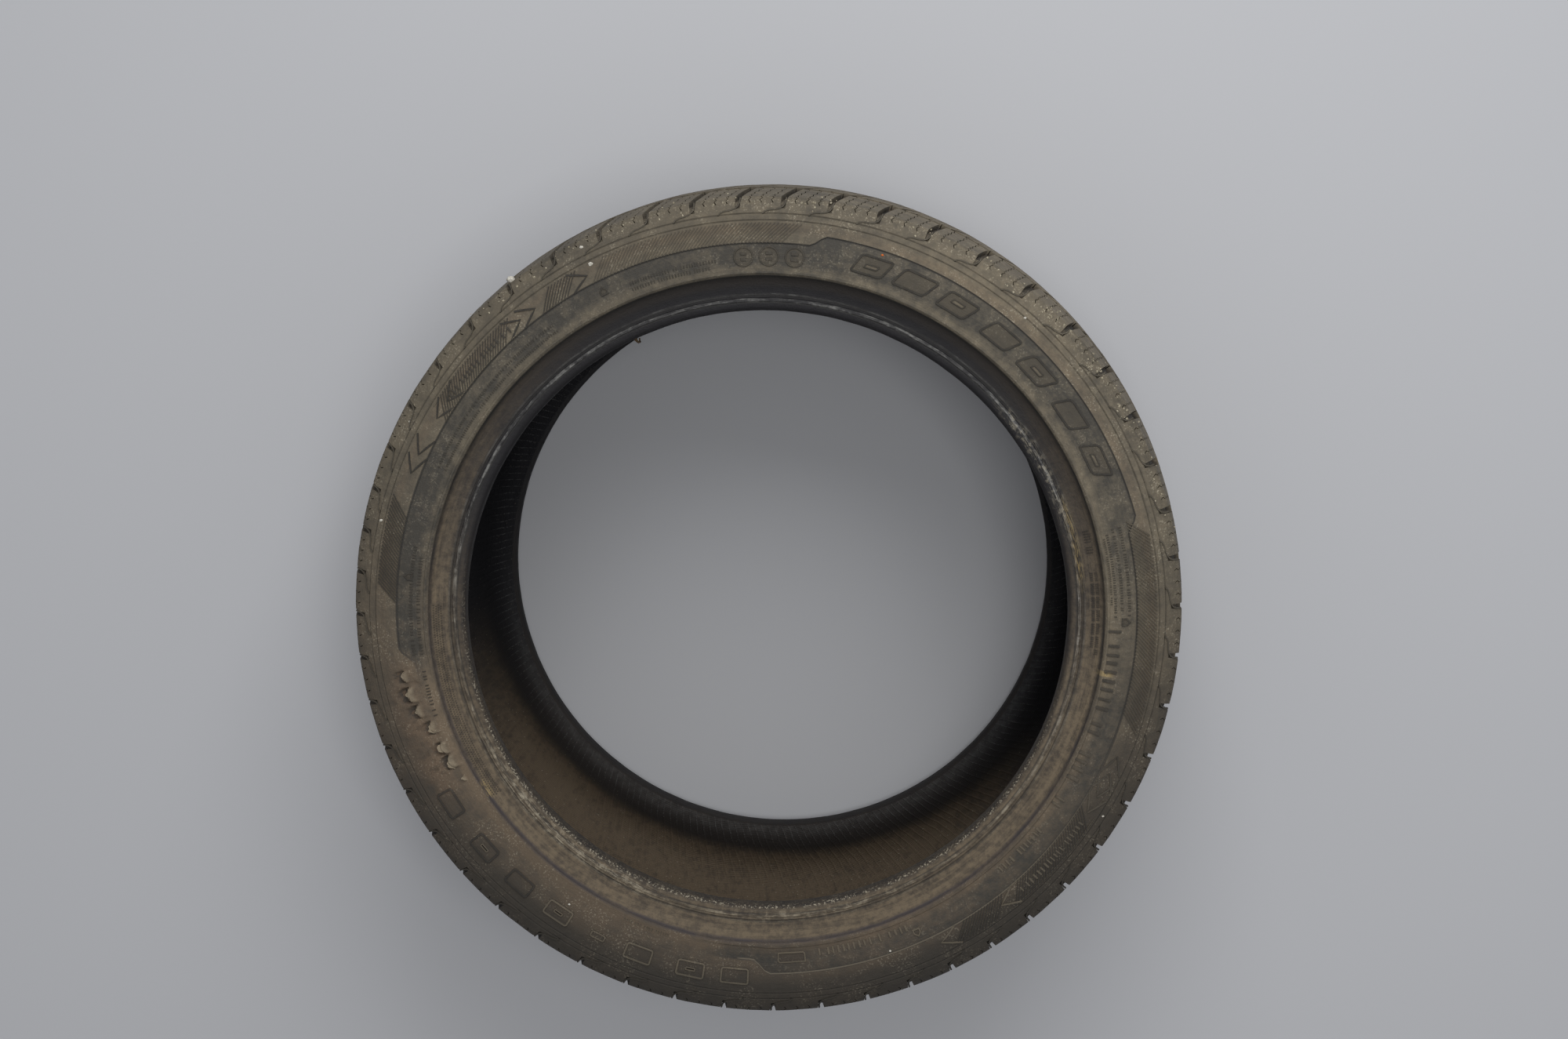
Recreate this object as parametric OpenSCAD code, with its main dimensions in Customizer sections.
// A worn, wide low-profile car tyre with no rim, lying on its sidewall.
// It is vulcanised in one piece, so it is one solid: an open C-shaped section turned about +Z,
// with worn grooves and slots cut into its tread and torn pits in its upper sidewall.
// Origin: centre of the ring, on the surface the tyre lies on.  +Z is the axle's line, upwards.
// Clock angles are degrees clockwise from +Y, seen from above.  Sizes are millimetres.

/* [Overall size] */
// Outside diameter over the worn tread, at the crown
outer_d = 720; // [700:5:900]
// Width across the two sidewalls with no rim fitted
section_w = 308; // [250:2:380]

/* [Bead] */
// Inside diameter of the straight band that grips the rim
bead_seat_d = 511; // [400:1:526]
// Height of that straight band
bead_seat_l = 9; // [5:0.5:14]
// How far the toe of each bead lies inside the sidewall's widest point
bead_inset = 29; // [20:1:45]
// Radius of the rounded bead heel
heel_r = 6; // [3:0.5:8]
// Radius of the rounded bead toe
toe_r = 1.5; // [0.5:0.25:3]
// Straight height of the bead's inner face
bead_back_h = 6; // [3:0.5:10]

/* [Sidewall] */
// Height of the rim protector rib above the bead seat
protector_h = 29.5; // [22:0.5:34]
// How far the rim protector's edge stands back from the flat land beside it
protector_drop = 2; // [1:0.5:4]
// Width of the chamfer between the rim protector's edge and the land
protector_chamfer = 2; // [1:0.5:4]
// Height of the straight flank between the bead heel and the cove above it
flank_h = 4; // [2:0.5:8]
// Thickness of the sidewall at its thinnest
sidewall_t = 8; // [5:0.5:11]

/* [Tread] */
// How far each edge of the tread lies inside the sidewall's widest point
tread_inset = 17; // [10:1:26]
// Fall of the tread from its crown to its edges
crown_drop = 10; // [4:0.5:14]
// Height of the rounded shoulder, from the tread's edge down to the flat land
shoulder_h = 47; // [36:1:52]
// Rubber and belts from the tread surface to the inside, at the crown
tread_t = 13; // [10:0.5:16]
// How far inside the sidewall's widest point the liner starts to curve down
liner_inset = 54; // [40:1:70]
// Height of the liner's rounded shoulder
liner_shoulder_h = 33; // [24:1:36]

/* [Worn tread pattern] */
// Depth left in the grooves and slots
groove_depth = 4.8; // [2:0.2:7]
// Width of the four grooves that run round the tyre
groove_w = 12; // [7:0.5:16]
// Distance of the two inner grooves from the centre plane
inner_groove_z = 24; // [16:1:34]
// Distance of the two outer grooves from the centre plane
outer_groove_z = 74; // [60:1:88]
// Blocks round each shoulder
block_count = 52; // [36:1:64]
// Width of the slots between the shoulder blocks
slot_w = 7; // [4:0.5:9]
// Lean of the shoulder slots from straight across
slot_lean = 8; // [0:1:20]
// How far round the shoulder's curve the slots run down, in degrees
slot_end = 38; // [25:1:60]
// Width of the cross slots between the inner and the outer grooves
cross_slot_w = 4; // [2:0.5:6]
// Lean of the cross slots from straight across
cross_slot_lean = 24; // [0:1:35]

/* [Torn sidewall] */
// Depth of the deepest torn pit in the upper sidewall
pit_depth = 2.6; // [1:0.2:4]

/* [Hidden] */
$fn = 180;

outer_r = outer_d / 2;
half_w = section_w / 2;
tread_edge_z = half_w - tread_inset;
bead_toe_z = half_w - bead_inset;
bead_flank_z = bead_toe_z + toe_r + bead_seat_l + heel_r;
bead_seat_r = bead_seat_d / 2;
flank_r = bead_seat_r + heel_r + flank_h;
protector_r = bead_seat_r + protector_h;
protector_z = half_w - protector_drop;
belly_r = outer_r - crown_drop - shoulder_h;
liner_edge_z = half_w - liner_inset;
liner_edge_r = outer_r - tread_t - crown_drop * pow(liner_edge_z / tread_edge_z, 2) / 2;
liner_belly_z = half_w - sidewall_t;
liner_belly_r = liner_edge_r - liner_shoulder_h;
bead_back_r = bead_seat_r + bead_back_h;

// Clear space that a cutter needs outside the rubber
spare = 6;

// The blocks are not all one length, so that the tread does not hum: their places swell and
// shrink in these waves, each [waves per turn, swing in degrees, where it starts in degrees]
spacing_waves = [[1, 2.0, -85], [2, 0.7, -60], [3, 0.6, 110], [4, 0.7, 220], [5, 0.6, 200]];
// Clock angle of the first shoulder slot, before the waves move it
first_slot_clock = 6.4;

// Torn pits, each [clock angle, distance from the axle's line, width, share of the full depth]
torn_pits = [
    [244.8, 298, 13, 0.9], [247.4, 299, 12, 0.8], [251.2, 301, 12, 0.7],
    [254.3, 308, 12, 0.8], [257.2, 311.5, 14, 1], [260.2, 312.5, 11, 0.7]
];

// Sum of a list of numbers, from item i on
function total(list, i = 0) = i == len(list) ? 0 : list[i] + total(list, i + 1);

// Clock angle of a shoulder slot's middle; index may lie between two slots
function slot_clock(index) =
    let (turn = index * 360 / block_count)
    first_slot_clock + turn + total([for (w = spacing_waves) w[1] * sin(w[0] * turn + w[2])]);

// Radius of the worn tread surface at a distance z from the centre plane
function tread_r(z) = outer_r - crown_drop * pow(z / tread_edge_z, 2);

// Point [radius, z] on the rounded shoulder, t degrees round its curve from the tread's edge
function shoulder_point(t) =
    [belly_r + shoulder_h * cos(t), tread_edge_z + tread_inset * sin(t)];

// Outward unit normal of the rounded shoulder at t degrees
function shoulder_normal(t) =
    let (n = [cos(t) / shoulder_h, sin(t) / tread_inset]) n / norm(n);

// Upper half of the section as [radius, z], from the crown outside to the liner's crown
half_outline = concat(
    // tread, then the rounded shoulder down to the flat land
    [for (i = [0:4]) let (z = tread_edge_z * i / 4) [tread_r(z), z]],
    [for (t = [18:18:90]) shoulder_point(t)],
    // the land's inner edge, then the cove that the rim's flange lies in
    [[protector_r + protector_chamfer, half_w]],
    [for (t = [0:15:90]) [flank_r + (protector_r - flank_r) * cos(t),
                          protector_z - (protector_z - bead_flank_z) * sin(t)]],
    // heel, straight seat and toe
    [for (t = [0:30:90]) [bead_seat_r + heel_r * (1 - sin(t)),
                          bead_flank_z - heel_r * (1 - cos(t))]],
    [for (t = [0:45:90]) [bead_seat_r + toe_r * (1 - cos(t)),
                          bead_toe_z + toe_r * (1 - sin(t))]],
    // liner: up the thick root of the sidewall, round its shoulder and in to the crown
    [for (i = [0:8]) [bead_back_r + (liner_belly_r - bead_back_r) * i / 8,
                      bead_toe_z + (liner_belly_z - bead_toe_z) * (1 - cos(180 * i / 8)) / 2]],
    [for (t = [75:-15:0]) [liner_belly_r + liner_shoulder_h * cos(t),
                           liner_edge_z + (liner_belly_z - liner_edge_z) * sin(t)]],
    [[outer_r - tread_t, 0]]
);

// Section of one round groove: sides that lean open, and a flat floor
module groove(z) {
    surface_r = tread_r(abs(z));
    open = groove_w / 2 + 0.15 * spare;
    shut = groove_w / 2 - 0.15 * groove_depth;
    polygon([
        [surface_r - groove_depth, z - shut], [surface_r + spare, z - open],
        [surface_r + spare, z + open], [surface_r - groove_depth, z + shut]
    ]);
}

// The whole section: the upper half, then its mirror image walked back to the crown
module section() {
    difference() {
        polygon(concat(
            half_outline,
            [for (i = [len(half_outline) - 2:-1:1]) [half_outline[i][0], -half_outline[i][1]]]
        ));
        for (side = [-1, 1], z = [inner_groove_z, outer_groove_z]) groove(side * z);
    }
}

// Section of the layer that the upper shoulder's slots reach into: worn floor, end wall, outside
module shoulder_layer() {
    steps = 3;
    polygon(concat(
        [for (z = [outer_groove_z, tread_edge_z]) [tread_r(z) - groove_depth, z]],
        [for (i = [1:steps])
            let (t = slot_end * i / steps)
            shoulder_point(t) - groove_depth * (1 - 0.5 * i / steps) * shoulder_normal(t)],
        [shoulder_point(slot_end) + spare * shoulder_normal(slot_end)],
        [[outer_r + spare, half_w + spare], [outer_r + spare, outer_groove_z]]
    ));
}

// Section of the layer that the cross slots between two round grooves reach into
module cross_layer() {
    polygon([
        [tread_r(inner_groove_z) - groove_depth, inner_groove_z],
        [tread_r(outer_groove_z) - groove_depth, outer_groove_z],
        [outer_r + spare, outer_groove_z], [outer_r + spare, inner_groove_z]
    ]);
}

// Cutter bar that stands on the tread at a clock angle, from one height to another, and leans
// against the clock as it rises
module slot_bar(clock, low_z, high_z, width, lean) {
    rotate(90 - clock)
        translate([outer_r, 0, (low_z + high_z) / 2])
        rotate([-lean, 0, 0])
        cube([2 * shoulder_h, width, (high_z - low_z) / cos(lean)], center = true);
}

// Every slot above the centre plane, shifted round by a share of one block
module upper_slots(shift) {
    intersection() {
        rotate_extrude() shoulder_layer();
        union() {
            for (i = [0:block_count - 1])
                slot_bar(slot_clock(i + shift), outer_groove_z, half_w + spare, slot_w, slot_lean);
        }
    }
    intersection() {
        rotate_extrude() cross_layer();
        union() {
            for (i = [0:block_count - 1])
                slot_bar(slot_clock(i + shift + 0.5), inner_groove_z, outer_groove_z,
                         cross_slot_w, cross_slot_lean);
        }
    }
}

// Torn pits: shallow scoops that bite into the upper sidewall's land
module pits() {
    for (pit = torn_pits) {
        depth = pit_depth * pit[3];
        scoop_r = (pow(pit[2] / 2, 2) + depth * depth) / (2 * depth);
        rotate(90 - pit[0]) translate([pit[1], 0, half_w + scoop_r - depth]) sphere(scoop_r);
    }
}

module tyre() {
    color([0.28, 0.26, 0.22]) translate([0, 0, half_w]) difference() {
        rotate_extrude() section();
        upper_slots(0);
        mirror([0, 0, 1]) upper_slots(0.5);
        pits();
    }
}

tyre();
